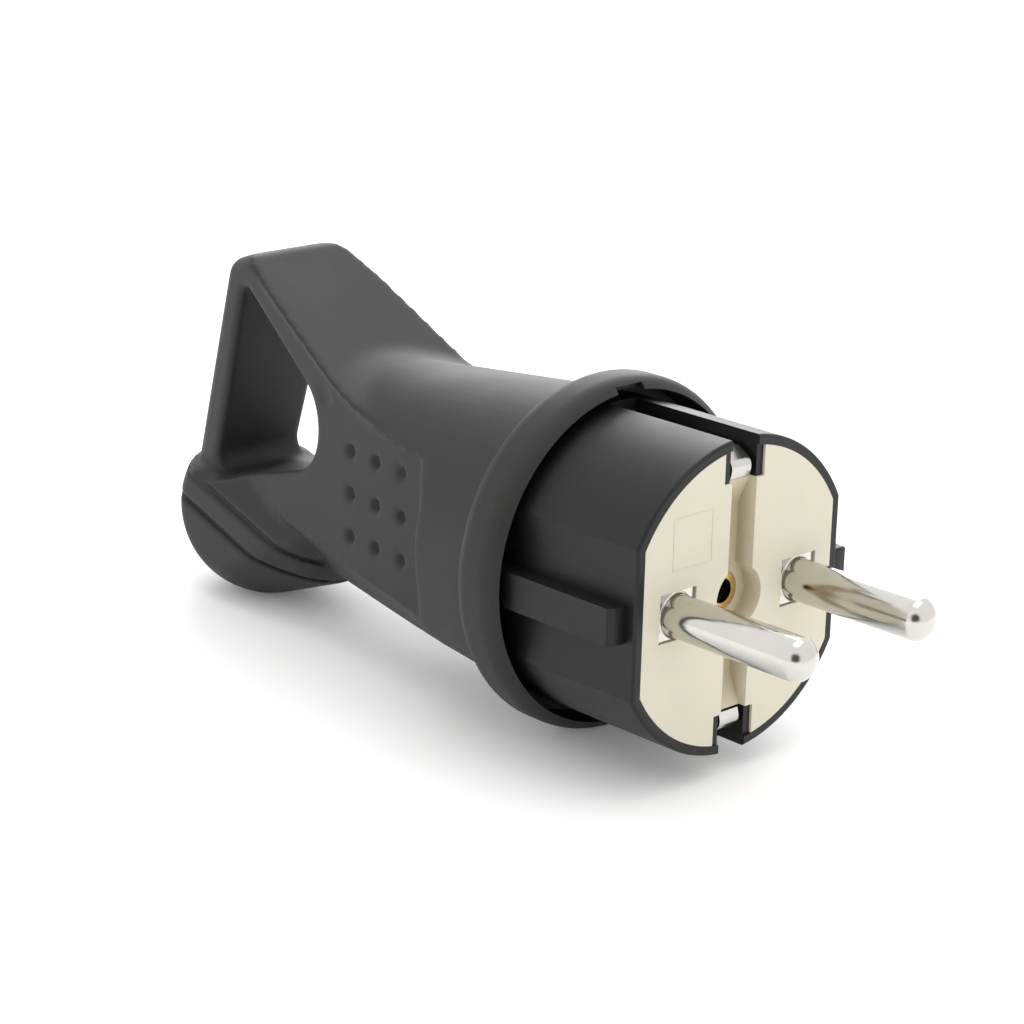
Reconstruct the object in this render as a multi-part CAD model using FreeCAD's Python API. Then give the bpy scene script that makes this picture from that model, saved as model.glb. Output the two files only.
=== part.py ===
# Two-pin plug with side earth contacts and a rubber pull handle, in millimetres.
# The origin is on the engagement face, midway between the pins. +X is the way the pins point,
# Y runs from pin to pin and +Z is up, towards the handle's finger loop.
import FreeCAD, Part
import math
import os

V = FreeCAD.Vector
X_AXIS = V(1, 0, 0)
Y_AXIS = V(0, 1, 0)
Z_AXIS = V(0, 0, 1)
FAR = 60.0                      # reach of the cutting tools, past any part of the plug

# Clearances
FIT = 0.05                      # plastic and metal pieces that seat in each other
SLIP = 0.1                      # rubber around the spigot
HOLE_PLAY = 0.2                 # screws through plain holes

# Pins
PIN_D = 4.8
PIN_SPACING = 19.0
PIN_LENGTH = 19.0
PIN_DOME = 1.7                  # height of the domed tip
PIN_FLANGE = 5.4                # side of the square flange at the pin's foot
PIN_FOOT_ROUND = 0.25
PIN_HEAD_W = 6.8                # terminal head behind the flange
PIN_HEAD_H = 8.0

# Contact carrier, the pale insert
CARRIER_DEPTH = 13.0
FRONT_PLATE = 5.0               # face to the front of the terminal pockets
SEAT_DEPTH = 0.3               # each pin's flange lies this far below the face
CHANNEL_W = 3.9
CHANNEL_DEPTH = 2.5
CENTRE_RECESS_R = 3.5
CHANNEL_RAMP_Z = 9.8            # height where the channel's floor starts to rise to the slots
CHANNEL_RAMP_DEPTH = 0.95       # its depth where it meets them
SLOT_FLOOR = 13.15              # height where the carrier's earth slots begin

# Plug barrel
BARREL_WALL = 1.1
BARREL_R = 18.0
BARREL_FLAT = 15.9
BARREL_LENGTH = 22.4            # face to the floor of the handle's cup
BARREL_RIM_ROUND = 0.35
BARREL_BORE_R = 14.2            # behind the carrier's ledge
EARTH_SLOT_W = 4.1
EARTH_SLOT_LENGTH = 18.5
EARTH_SLOT_WALL = 1.0           # cheeks of the barrel that line the carrier's slots
RIB_W = 4.2
RIB_HEIGHT = 2.2
RIB_SETBACK = 1.5
RIB_CHAMFER = 0.6
SPIGOT_R = 14.7
SPIGOT_WALL = 2.1
SPIGOT_LENGTH = 8.6
GRIP_GROOVE_DEPTH = 0.7
GRIP_GROOVE_W = 1.8
GRIP_GROOVE_SETBACK = 3.6
BRIDGE_DEPTH = 5.0              # crossbar that holds the fixing nut
BRIDGE_H = 7.0

# Earth strap
STRAP_T = 0.8
STRAP_W = 3.0
STRAP_FOOT_X = 0.7              # front foot behind the face
STRAP_FOOT_Z = 13.4
STRAP_NOSE_X = 0.35             # the bend over the foot, behind the face
STRAP_NOSE_Z = 14.85
STRAP_BEND_R = 0.6              # inside the bend
STRAP_CREST_Z = 16.3
STRAP_CREST_FRONT = 2.7         # crest begins this far behind the face
STRAP_CREST_BACK = 9.5

# Screws and terminals
FIXING_HEAD_D = 4.4
FIXING_HEAD_H = 2.2             # flush with the channel's floor
FIXING_D = 2.5
FIXING_NUT_AF = 5.0
FIXING_NUT_T = 2.0
FIXING_SOCKET_D = 2.8
FIXING_SOCKET_DEPTH = 1.2
CROSS_DEPTH = 0.6               # driver's cross in the socket's floor
TERMINAL_SCREW_D = 3.4
TERMINAL_HEAD_D = 5.2
TERMINAL_HEAD_H = 2.0
DRIVER_SLOT_W = 0.9
WIRE_BORE_D = 3.2
WIRE_BORE_DEPTH = 6.4
GUARD_T = 0.4
GUARD_W = 2.2                   # narrower than the wire's bore
EARTH_BLOCK = (6.0, 6.0, 6.0)
EARTH_BLOCK_Z = 8.5
EARTH_SCREW_D = 3.0
EARTH_HEAD_D = 4.6
EARTH_HEAD_H = 1.8
RIVET_D = 1.8
RIVET_HEAD_D = 3.2
RIVET_HEAD_H = 0.7
RIVET_LENGTH = 1.6              # into the earth block
RIVET_FLOOR = 0.6               # left between the rivet's hole and the wire's bore

# Cord clamp
TONGUE_TOP_Z = -4.6
TONGUE_T = 2.4
TONGUE_W = 13.6
TONGUE_LENGTH = 11.6            # past the spigot's end
CLAMP_LENGTH = 5.0
CLAMP_T = 2.0
CLAMP_W = 12.8
CLAMP_Z = 2.6                   # underside of the bar
CLAMP_TOOTH = 0.8
CLAMP_SCREW_D = 2.5
CLAMP_SCREW_SPACING = 9.8
CLAMP_HEAD_D = 4.0
CLAMP_HEAD_H = 1.4

# Handle: collar and neck, turned about X
CUP_GAP = 1.3                   # between the barrel and the collar's lip
CUP_DEPTH = 5.5
COLLAR_LIP = 1.3
COLLAR_WIDTH = 7.1
COLLAR_ROUND = 2.6
COLLAR_FLAT = 0.2               # taken off underneath, where the collar stands
NOTCH_DEPTH = 0.6               # notch in the lip over each earth slot
NECK_R = 18.1                   # at the back of the collar
NECK_TAPER = 0.102              # loss of radius for each mm backwards
NECK_END = 72.0

# Handle: side panels, which close in towards the loop
PANEL_HALF = 9.6                # half thickness at PANEL_X
PANEL_X = 60.0
PANEL_TAPER = 0.12
PANEL_FRONT = 38.0              # panel ends here
PANEL_STEP_RUN = 4.0            # run of the sloping wall in front of it
PANEL_TOP_Z = 9.5               # upper edge of the panel's front part
PANEL_TOP_ROUND = 39.0          # where that edge bends up along the strap
PANEL_CORNER_ROUND = 1.6
LOOP_ROUND = 2.4
CAP_PROUD = 0.5                 # top strap stands out from the panels
CAP_EDGE = 0.5                  # height of its side above the panel
CAP_FADE = 4.0                  # its back end runs out over this length
CAP_BLEND = 8.0                 # hollow curve from the strap into the neck

# Handle: outline of the slab seen from the side, as (x, z)
SLAB_FRONT_X = -36.0
SLAB_FOOT = (-38.0, -8.0)
SLAB_UNDERSIDE_Z = -11.0        # at the back end of the neck
LOOP_TOP = (-76.6, 25.0)
LOOP_TOP_BACK = (-81.2, 23.4)
LOOP_BACK_LOW = (-89.3, -4.0)
LOOP_BOTTOM_BACK = (-86.0, -9.5)
TOP_SLOPE = 0.566               # fall of the top strap for each mm forwards
HOLE_TOP = (-77.1, 21.5)        # corners of the finger hole, before rounding
HOLE_FRONT = (-51.8, 4.3)
HOLE_BACK = (-84.4, -5.4)
HOLE_ROUNDS = (1.2, 6.6, 2.2)
HOLE_EDGE = 0.8

# Handle: cable outlet, which swells forwards into the neck's underside
OUTLET_R = 11.7
OUTLET_C = (-80.8, -9.2)
OUTLET_TOE_R = 9.9
OUTLET_TOE_C = (-70.4, -7.2)
OUTLET_HALF_W = 9.5
OUTLET_SIDE_ROUND = 2.0
OUTLET_TILT = 71.5              # outlet's axis below the rearward line, in degrees
RING_GROOVES = (-2.7, 1.1)      # along that axis, from the centre
RING_GROOVE_W = 0.7
RING_GROOVE_DEPTH = 0.8
FLARE_RISE = 1.4                # hollow flare from the panels out to the first groove
FLARE_SHRINK = 0.79             # its top's size beside its foot's

# Handle: hollow
CHAMBER_FRONT_R = 11.5
CHAMBER_BACK_R = 8.5
CHAMBER_BACK = 56.0
DUCT_D = 9.0
DUCT_START = (-54.0, -3.5)
DUCT_TURN = (-80.8, -11.3)

# Handle: small features of the panels
DIMPLE_D = 1.9
DIMPLE_FLOOR_D = 0.9
DIMPLE_DEPTH = 0.9
DIMPLE_PITCH = 5.3
DIMPLE_CENTRE = (-47.6, 0.7)
DIMPLE_ROWS = 3
EJECTOR_D = 2.6
EJECTOR_DEPTH = 0.15
EJECTORS = ((-58.4, 11.3), (-68.9, -7.0))
BEVEL_FRONT_Z = -10.3           # panel's lower edge at its front
BEVEL_BACK = (-66.0, -6.8)      # and towards the loop
BEVEL_TILT = 49.0               # the underside's bevel, from level, in degrees
BEVEL_LEAD = 1.0                # it starts ahead of the panel's front
BEVEL_RUN_OUT = 9.0
BEVEL_SIDE = 6.0                # it reaches this far outside the panel


def box(x, y, z):
    """A block from three (low, high) pairs."""
    return Part.makeBox(x[1] - x[0], y[1] - y[0], z[1] - z[0], V(x[0], y[0], z[0]))


def rod(x, radius, y=0.0, z=0.0):
    """A round bar along X between two stations."""
    return Part.makeCylinder(radius, x[1] - x[0], V(x[0], y, z), X_AXIS)


def turned(points):
    """A body of revolution about X from (x, radius) points."""
    wire = Part.makePolygon([V(x, 0, r) for x, r in points] + [V(points[0][0], 0, points[0][1])])
    return Part.Face(wire).revolve(V(0, 0, 0), X_AXIS, 360)


def hexagon(across_flats, height, base, direction):
    """A hexagonal prism."""
    radius = across_flats / math.sqrt(3)
    corners = [V(radius * math.cos(i * math.pi / 3), radius * math.sin(i * math.pi / 3), 0) for i in range(7)]
    prism = Part.Face(Part.makePolygon(corners)).extrude(V(0, 0, height))
    prism.Placement = FreeCAD.Placement(base, FreeCAD.Rotation(Z_AXIS, direction))
    return prism


def side_prism(points, half_width):
    """A prism across the plug from an outline of (x, z) points."""
    corners = [V(x, -half_width, z) for x, z in points + points[:1]]
    return Part.Face(Part.makePolygon(corners)).extrude(V(0, 2 * half_width, 0))


def plan_prism(points, z_low, z_high):
    """A prism of (x, y) points between two heights."""
    wire = Part.makePolygon([V(x, y, z_low) for x, y in points] + [V(points[0][0], points[0][1], z_low)])
    return Part.Face(wire).extrude(V(0, 0, z_high - z_low))


def joined(shapes):
    """One solid from overlapping shapes."""
    return shapes[0].fuse(shapes[1:]).removeSplitter()


def straight_edges(shape, direction):
    """The straight edges that run along a direction."""
    found = []
    for edge in shape.Edges:
        if len(edge.Vertexes) == 2:
            run = edge.Vertexes[1].Point.sub(edge.Vertexes[0].Point)
            if abs(run.Length - edge.Length) < 1e-6 and run.cross(direction).Length < 1e-6 * run.Length:
                found.append(edge)
    return found


def flatted(x, radius, half_flat):
    """A round block along X with a flat on each side."""
    return rod(x, radius).common(box(x, (-half_flat, half_flat), (-radius, radius)))


def both_ways(shape, normal):
    """A shape and its mirror image through the origin."""
    return [shape, shape.mirror(V(0, 0, 0), normal)]


def panel_half(x, extra=0.0):
    """Half thickness of the handle between its panels at a station."""
    return PANEL_HALF + (x + PANEL_X) * PANEL_TAPER + extra


def neck_radius(x):
    return NECK_R + (x + COLLAR_BACK) * NECK_TAPER


# Terminals

HEAD_X = (-CARRIER_DEPTH + HOLE_PLAY, -FRONT_PLATE)
HEAD_TOP = PIN_HEAD_H / 2
TERMINAL_SCREW_X = HEAD_X[0] + WIRE_BORE_DEPTH / 2
GUARD_TOP = math.sqrt(WIRE_BORE_D ** 2 - GUARD_W ** 2) / 2 - FIT


def pin(y):
    """A round pin with a domed tip, a square flange at its foot and a drilled terminal head."""
    radius = PIN_D / 2
    dome_x = PIN_LENGTH - PIN_DOME
    dome_r = (radius ** 2 + PIN_DOME ** 2) / (2 * PIN_DOME)
    dome = Part.makeSphere(dome_r, V(PIN_LENGTH - dome_r, y, 0)).common(rod((dome_x, PIN_LENGTH), PIN_D, y))
    half = PIN_FLANGE / 2
    flange = box((-FRONT_PLATE, -SEAT_DEPTH), (y - half, y + half), (-half, half))
    head = box(HEAD_X, (y - PIN_HEAD_W / 2, y + PIN_HEAD_W / 2), (-HEAD_TOP, HEAD_TOP))
    body = joined([rod((-SEAT_DEPTH, dome_x), radius, y), dome, flange, head])
    foot = [e for e in body.Edges if isinstance(e.Curve, Part.Circle) and abs(e.BoundBox.XMax + SEAT_DEPTH) < 0.01]
    body = body.makeFillet(PIN_FOOT_ROUND, foot)
    body = body.cut(rod((HEAD_X[0], HEAD_X[0] + WIRE_BORE_DEPTH), WIRE_BORE_D / 2, y))
    return body.cut(Part.makeCylinder(TERMINAL_SCREW_D / 2 + FIT, HEAD_TOP, V(TERMINAL_SCREW_X, y, 0)))


def slotted_screw(diameter, length, head_d, head_h, seat, direction, slot_across):
    """A cheese-head screw: its shank runs from the seat against the direction of its head."""
    head = Part.makeCylinder(head_d / 2, head_h, seat, direction)
    shank = Part.makeCylinder(diameter / 2, length, seat, direction.negative())
    slot_run = direction.cross(slot_across)
    corner = seat + direction * (head_h / 2) - slot_across * (DRIVER_SLOT_W / 2) - slot_run * head_d
    slot = Part.Face(Part.makePolygon([
        corner, corner + slot_across * DRIVER_SLOT_W,
        corner + slot_across * DRIVER_SLOT_W + slot_run * (2 * head_d),
        corner + slot_run * (2 * head_d), corner])).extrude(direction * head_h)
    return joined([head, shank]).cut(slot)


def terminal_screw(y):
    length = HEAD_TOP - GUARD_TOP
    seat = V(TERMINAL_SCREW_X, y, HEAD_TOP)
    return slotted_screw(TERMINAL_SCREW_D, length, TERMINAL_HEAD_D, TERMINAL_HEAD_H, seat, Z_AXIS, Y_AXIS)


def wire_guard(y):
    """The leaf between screw and wire, inside the pin's wire bore."""
    return box((HEAD_X[0], TERMINAL_SCREW_X + TERMINAL_SCREW_D / 2), (y - GUARD_W / 2, y + GUARD_W / 2),
               (GUARD_TOP - GUARD_T, GUARD_TOP))


# Front: carrier, earth strap and fixing screw

CARRIER_R = BARREL_R - BARREL_WALL - FIT
CARRIER_FLAT = BARREL_FLAT - BARREL_WALL - FIT
STRAP_BACK_X = -CARRIER_DEPTH - STRAP_T
EARTH_X = (STRAP_BACK_X - EARTH_BLOCK[0], STRAP_BACK_X)
EARTH_SCREW_X = EARTH_X[0] + EARTH_BLOCK[0] * 0.35
EARTH_BORE_DEPTH = EARTH_BLOCK[0] - RIVET_LENGTH - RIVET_FLOOR
HEAD_SEAT_X = -CHANNEL_DEPTH - FIXING_HEAD_H


def band(line, thickness):
    """The outline of a strip of even thickness that follows (x, z) points."""
    sides = ([], [])
    for i, here in enumerate(line):
        before = line[max(i - 1, 0)]
        after = line[min(i + 1, len(line) - 1)]
        runs = [V(here[0] - before[0], here[1] - before[1], 0), V(after[0] - here[0], after[1] - here[1], 0)]
        runs = [run.normalize() for run in runs if run.Length > 0]
        across = V(-sum(run.y for run in runs), sum(run.x for run in runs), 0).normalize()
        reach = thickness / 2 / abs(across.x * -runs[0].y + across.y * runs[0].x)
        for side, sign in zip(sides, (1, -1)):
            side.append((here[0] + sign * across.x * reach, here[1] + sign * across.y * reach))
    return sides[0] + sides[1][::-1]


def strap():
    """A bent strip: a bowed contact in each earth slot and a bridge behind the carrier."""
    mid = STRAP_T / 2
    back = -CARRIER_DEPTH - mid
    crest = STRAP_CREST_Z - mid
    nose = V(-STRAP_NOSE_X - mid, 0, STRAP_NOSE_Z)
    upper = [(-STRAP_FOOT_X - mid, STRAP_FOOT_Z), (nose.x, nose.z), (-STRAP_CREST_FRONT, crest),
             (-STRAP_CREST_BACK, crest), (back, STRAP_FOOT_Z + STRAP_T)]
    lower = [(x, -z) for x, z in reversed(upper)]
    solid = side_prism(band(upper + lower, STRAP_T), STRAP_W / 2)
    for radius, side in ((STRAP_BEND_R + STRAP_T, 1), (STRAP_BEND_R, -1)):
        bends = []
        for edge in straight_edges(solid, Y_AXIS):
            x, z = edge.Vertexes[0].X - nose.x, abs(edge.Vertexes[0].Z) - nose.z
            if math.hypot(x, z) < STRAP_T and side * x > 0:
                bends.append(edge)
        solid = solid.makeFillet(radius, bends)
    holes = [rod((back - STRAP_T, back + STRAP_T), FIXING_D / 2 + HOLE_PLAY),
             rod((back - STRAP_T, back + STRAP_T), RIVET_D / 2 + FIT, 0, EARTH_BLOCK_Z)]
    return solid.cut(holes)


def carrier():
    body = flatted((-CARRIER_DEPTH, 0), CARRIER_R, CARRIER_FLAT)
    cuts = []
    slot_half = EARTH_SLOT_W / 2 + EARTH_SLOT_WALL + FIT
    slot = box((-CARRIER_DEPTH, 0), (-slot_half, slot_half), (SLOT_FLOOR, CARRIER_R))
    cuts += both_ways(slot, Z_AXIS)
    half = [(-CHANNEL_DEPTH, CHANNEL_RAMP_Z), (-CHANNEL_RAMP_DEPTH, SLOT_FLOOR), (0, SLOT_FLOOR)]
    cuts.append(side_prism(half + [(x, -z) for x, z in reversed(half)], CHANNEL_W / 2))
    cuts.append(rod((-CHANNEL_DEPTH, 0), CENTRE_RECESS_R))
    cuts.append(rod((-CARRIER_DEPTH, 0), FIXING_D / 2 + HOLE_PLAY))
    cuts.append(rod((HEAD_SEAT_X, -CHANNEL_DEPTH), FIXING_HEAD_D / 2 + FIT))
    rivet_x = (-CARRIER_DEPTH, -CARRIER_DEPTH + RIVET_HEAD_H + FIT)
    cuts.append(rod(rivet_x, RIVET_HEAD_D / 2 + FIT, 0, EARTH_BLOCK_Z))
    hole = PIN_FLANGE / 2 + FIT
    half_w = PIN_HEAD_W / 2 + FIT
    half_h = HEAD_TOP + FIT
    for y in (-PIN_SPACING / 2, PIN_SPACING / 2):
        cuts.append(box((-FRONT_PLATE, 0), (y - hole, y + hole), (-hole, hole)))
        cuts.append(box((-CARRIER_DEPTH, -FRONT_PLATE), (y - half_w, y + half_w), (-half_h, half_h)))
        cuts.append(Part.makeCylinder(TERMINAL_HEAD_D / 2 + HOLE_PLAY, FAR, V(TERMINAL_SCREW_X, y, 0)))
    return body.cut(cuts)


def fixing_screw():
    """A screw with a round socket in its head and a driver's cross at the socket's floor."""
    head = rod((HEAD_SEAT_X, -CHANNEL_DEPTH), FIXING_HEAD_D / 2)
    shank = rod((BRIDGE_X[0], HEAD_SEAT_X), FIXING_D / 2)
    floor = -CHANNEL_DEPTH - FIXING_SOCKET_DEPTH
    reach = FIXING_SOCKET_D / 2
    arm = DRIVER_SLOT_W * 0.4
    recess = [rod((floor, 0), reach),
              box((floor - CROSS_DEPTH, floor), (-reach, reach), (-arm, arm)),
              box((floor - CROSS_DEPTH, floor), (-arm, arm), (-reach, reach))]
    return joined([head, shank]).cut(recess)


def fixing_nut():
    nut = hexagon(FIXING_NUT_AF, FIXING_NUT_T, V(BRIDGE_X[0], 0, 0), X_AXIS)
    return nut.cut(rod((BRIDGE_X[0], BRIDGE_X[0] + FIXING_NUT_T), FIXING_D / 2 + FIT))


def earth_terminal():
    half_w = EARTH_BLOCK[1] / 2
    half_h = EARTH_BLOCK[2] / 2
    block = box(EARTH_X, (-half_w, half_w), (EARTH_BLOCK_Z - half_h, EARTH_BLOCK_Z + half_h))
    bore = rod((EARTH_X[0], EARTH_X[0] + EARTH_BORE_DEPTH), WIRE_BORE_D / 2, 0, EARTH_BLOCK_Z)
    tap = Part.makeCylinder(EARTH_SCREW_D / 2 + FIT, half_w, V(EARTH_SCREW_X, 0, EARTH_BLOCK_Z), Y_AXIS)
    rivet_hole = rod((EARTH_X[1] - RIVET_LENGTH, EARTH_X[1]), RIVET_D / 2 + FIT, 0, EARTH_BLOCK_Z)
    return block.cut([bore, tap, rivet_hole])


def earth_screw():
    half_w = EARTH_BLOCK[1] / 2
    length = half_w - GUARD_TOP
    seat = V(EARTH_SCREW_X, half_w, EARTH_BLOCK_Z)
    return slotted_screw(EARTH_SCREW_D, length, EARTH_HEAD_D, EARTH_HEAD_H, seat, Y_AXIS, X_AXIS)


def earth_guard():
    return box((EARTH_X[0], EARTH_X[0] + EARTH_BORE_DEPTH), (GUARD_TOP - GUARD_T, GUARD_TOP),
               (EARTH_BLOCK_Z - GUARD_W / 2, EARTH_BLOCK_Z + GUARD_W / 2))


def rivet():
    head = rod((-CARRIER_DEPTH, -CARRIER_DEPTH + RIVET_HEAD_H), RIVET_HEAD_D / 2, 0, EARTH_BLOCK_Z)
    shank = rod((STRAP_BACK_X - RIVET_LENGTH, -CARRIER_DEPTH), RIVET_D / 2, 0, EARTH_BLOCK_Z)
    return joined([head, shank])


# Barrel

LEDGE_X = -CARRIER_DEPTH
SPIGOT_X = (-BARREL_LENGTH - SPIGOT_LENGTH, -BARREL_LENGTH)
GROOVE_X = (SPIGOT_X[1] - GRIP_GROOVE_SETBACK - GRIP_GROOVE_W, SPIGOT_X[1] - GRIP_GROOVE_SETBACK)
BRIDGE_X = (STRAP_BACK_X - BRIDGE_DEPTH, STRAP_BACK_X)
TONGUE_X = (SPIGOT_X[0] - TONGUE_LENGTH, SPIGOT_X[1] - 1.6)
CLAMP_X = (TONGUE_X[0] + 0.6, TONGUE_X[0] + 0.6 + CLAMP_LENGTH)
CLAMP_MID_X = (CLAMP_X[0] + CLAMP_X[1]) / 2
RIB_HALF = BARREL_FLAT + RIB_HEIGHT


def barrel():
    outside = flatted((-BARREL_LENGTH, 0), BARREL_R, BARREL_FLAT)
    front_rim = [e for e in outside.Edges if e.BoundBox.XMin > -0.01]
    outside = outside.makeFillet(BARREL_RIM_ROUND, front_rim)
    spigot = rod(SPIGOT_X, SPIGOT_R)
    rib = box((-BARREL_LENGTH, -RIB_SETBACK), (BARREL_FLAT - BARREL_WALL, RIB_HALF), (-RIB_W / 2, RIB_W / 2))
    rib = rib.makeChamfer(RIB_CHAMFER, [e for e in rib.Edges if e.BoundBox.XMin > -RIB_SETBACK - 0.01 and
                                        e.BoundBox.YMin > RIB_HALF - 0.01])
    body = joined([outside, spigot] + both_ways(rib, Y_AXIS))
    spigot_bore = SPIGOT_R - SPIGOT_WALL
    hollows = [flatted((LEDGE_X, 0), CARRIER_R + FIT, CARRIER_FLAT + FIT),
               rod((-BARREL_LENGTH, LEDGE_X), BARREL_BORE_R),
               rod(SPIGOT_X, spigot_bore),
               rod(GROOVE_X, FAR).cut(rod(GROOVE_X, SPIGOT_R - GRIP_GROOVE_DEPTH))]
    body = body.cut(hollows)
    inside = rod((SPIGOT_X[0], 0), BARREL_R - 0.3)
    slot_half = EARTH_SLOT_W / 2
    cheek = box((LEDGE_X, -0.3), (slot_half, slot_half + EARTH_SLOT_WALL), (SLOT_FLOOR, BARREL_R)).common(inside)
    cheeks = both_ways(cheek, Y_AXIS)
    cheeks += [c.mirror(V(0, 0, 0), Z_AXIS) for c in cheeks]
    bridge_half = BARREL_FLAT - BARREL_WALL / 2
    bridge = box(BRIDGE_X, (-bridge_half, bridge_half), (-BRIDGE_H / 2, BRIDGE_H / 2)).common(inside)
    tongue_z = (TONGUE_TOP_Z - TONGUE_T, TONGUE_TOP_Z)
    bore = rod((SPIGOT_X[0] - FAR, SPIGOT_X[1]), spigot_bore + 0.5)
    shelf = box((SPIGOT_X[0], TONGUE_X[1]), (-FAR, FAR), tongue_z).common(bore)
    tongue = box((TONGUE_X[0], TONGUE_X[1]), (-TONGUE_W / 2, TONGUE_W / 2), tongue_z)
    body = joined([body, bridge, shelf, tongue] + cheeks)
    slot = box((-EARTH_SLOT_LENGTH, 0), (-slot_half, slot_half), (SLOT_FLOOR - 1.0, FAR))
    cuts = both_ways(slot, Z_AXIS)
    cuts.append(rod(BRIDGE_X, FIXING_D / 2 + HOLE_PLAY))
    cuts.append(hexagon(FIXING_NUT_AF + 2 * FIT, FIXING_NUT_T, V(BRIDGE_X[0], 0, 0), X_AXIS))
    for y in (-CLAMP_SCREW_SPACING / 2, CLAMP_SCREW_SPACING / 2):
        cuts.append(Part.makeCylinder(CLAMP_SCREW_D / 2 + FIT, TONGUE_T, V(CLAMP_MID_X, y, tongue_z[0])))
    return body.cut(cuts)


# Cord clamp


def clamp_bar():
    """A bar over the cord, with teeth under its middle."""
    bar = box(CLAMP_X, (-CLAMP_W / 2, CLAMP_W / 2), (CLAMP_Z, CLAMP_Z + CLAMP_T))
    bar = bar.makeFillet(CLAMP_T * 0.4, straight_edges(bar, Z_AXIS))
    half = (CLAMP_SCREW_SPACING - CLAMP_HEAD_D) / 2
    teeth = []
    for i in range(2):
        x = CLAMP_X[0] + CLAMP_LENGTH * (0.25 + 0.5 * i)
        outline = [(x - CLAMP_TOOTH, CLAMP_Z), (x, CLAMP_Z - CLAMP_TOOTH), (x + CLAMP_TOOTH, CLAMP_Z)]
        teeth.append(side_prism(outline, half))
    bar = joined([bar] + teeth)
    holes = [Part.makeCylinder(CLAMP_SCREW_D / 2 + HOLE_PLAY, CLAMP_T, V(CLAMP_MID_X, s * CLAMP_SCREW_SPACING / 2,
                                                                        CLAMP_Z)) for s in (-1, 1)]
    return bar.cut(holes)


def clamp_screw(side):
    seat = V(CLAMP_MID_X, side * CLAMP_SCREW_SPACING / 2, CLAMP_Z + CLAMP_T)
    length = CLAMP_Z + CLAMP_T - TONGUE_TOP_Z + TONGUE_T
    return slotted_screw(CLAMP_SCREW_D, length, CLAMP_HEAD_D, CLAMP_HEAD_H, seat, Z_AXIS, Y_AXIS)


# Handle

CUP_R = BARREL_R + CUP_GAP
COLLAR_R = CUP_R + COLLAR_LIP
COLLAR_FRONT = BARREL_LENGTH - CUP_DEPTH
COLLAR_BACK = COLLAR_FRONT + COLLAR_WIDTH
REST_Z = COLLAR_FLAT - COLLAR_R     # collar and outlet both stand on this height
OUTLET_CENTRE = V(OUTLET_C[0], 0, OUTLET_C[1])
OUTLET_AXIS = V(-math.cos(math.radians(OUTLET_TILT)), 0, -math.sin(math.radians(OUTLET_TILT)))


def between_panels(extra, z=(-FAR, FAR)):
    """The wedge between the two side panels, each moved out by extra."""
    back, front = -2 * FAR, -COLLAR_BACK
    points = [(back, -panel_half(back, extra)), (front, -panel_half(front, extra)),
              (front, panel_half(front, extra)), (back, panel_half(back, extra))]
    return plan_prism(points, z[0], z[1])


def rounded_prism(corners, radii):
    """A prism across the plug from (x, z) corners with an arc at each."""
    ends = []
    for i, corner in enumerate(corners):
        here = V(corner[0], -FAR, corner[1])
        last, following = corners[i - 1], corners[(i + 1) % len(corners)]
        before = V(last[0], -FAR, last[1]).sub(here).normalize()
        after = V(following[0], -FAR, following[1]).sub(here).normalize()
        half_angle = before.getAngle(after) / 2
        run = radii[i] / math.tan(half_angle)
        top = here + (before + after).normalize() * (radii[i] / math.sin(half_angle) - radii[i])
        ends.append((here + before * run, top, here + after * run))
    edges = []
    for i, (start, top, end) in enumerate(ends):
        if radii[i] > 0:
            edges.append(Part.Arc(start, top, end).toShape())
        edges.append(Part.LineSegment(end, ends[(i + 1) % len(ends)][0]).toShape())
    return Part.Face(Part.Wire(edges)).extrude(V(0, 2 * FAR, 0))


def top_line(x):
    """Height of the top strap's outside."""
    return LOOP_TOP[1] - (x - LOOP_TOP[0]) * TOP_SLOPE


def slab():
    """The flat body of the handle: loop, finger hole and what joins them to the neck."""
    front = (SLAB_FRONT_X, top_line(SLAB_FRONT_X))
    outline = [LOOP_BACK_LOW, LOOP_TOP_BACK, LOOP_TOP, front, SLAB_FOOT, (-NECK_END, SLAB_UNDERSIDE_Z),
               LOOP_BOTTOM_BACK]
    block = side_prism(outline, FAR).common(between_panels(0.0))
    rounded = []
    for edge in block.Edges:
        low, high = edge.BoundBox.XMin, edge.BoundBox.XMax
        across = edge.BoundBox.YLength > LOOP_ROUND
        upper_back = high < LOOP_TOP[0] + 0.1 and edge.BoundBox.ZMin > LOOP_BACK_LOW[1] - 0.1
        if upper_back and not (across and low < LOOP_BACK_LOW[0] + 0.1):
            rounded.append(edge)
    return block.makeFillet(LOOP_ROUND, rounded)


def neck():
    """The round neck, the strap that rises from it and the hollow curve between them."""
    front, back = -(COLLAR_BACK + COLLAR_FRONT) / 2, LOOP_TOP[0] + LOOP_ROUND
    cone = turned([(front, 0), (front, neck_radius(front)), (-NECK_END, neck_radius(-NECK_END)), (-NECK_END, 0)])
    step = -PANEL_FRONT
    ramp = side_prism([(back, top_line(back)), (step, top_line(step)), (step, 0), (back, 0)], FAR / 2)
    merged = joined([cone, ramp])
    blended = merged.makeFillet(CAP_BLEND, [e for e in merged.Edges if isinstance(e.Curve, Part.Ellipse)])
    fade = back + CAP_FADE
    side = [(back, panel_half(back)), (fade, panel_half(fade, CAP_PROUD)), (front, panel_half(front, CAP_PROUD))]
    strap_plan = plan_prism([(x, -y) for x, y in side] + side[::-1], -FAR, FAR)
    return joined([blended.common(strap_plan), cone]).cut(both_ways(panel_pocket(), Y_AXIS))


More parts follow.
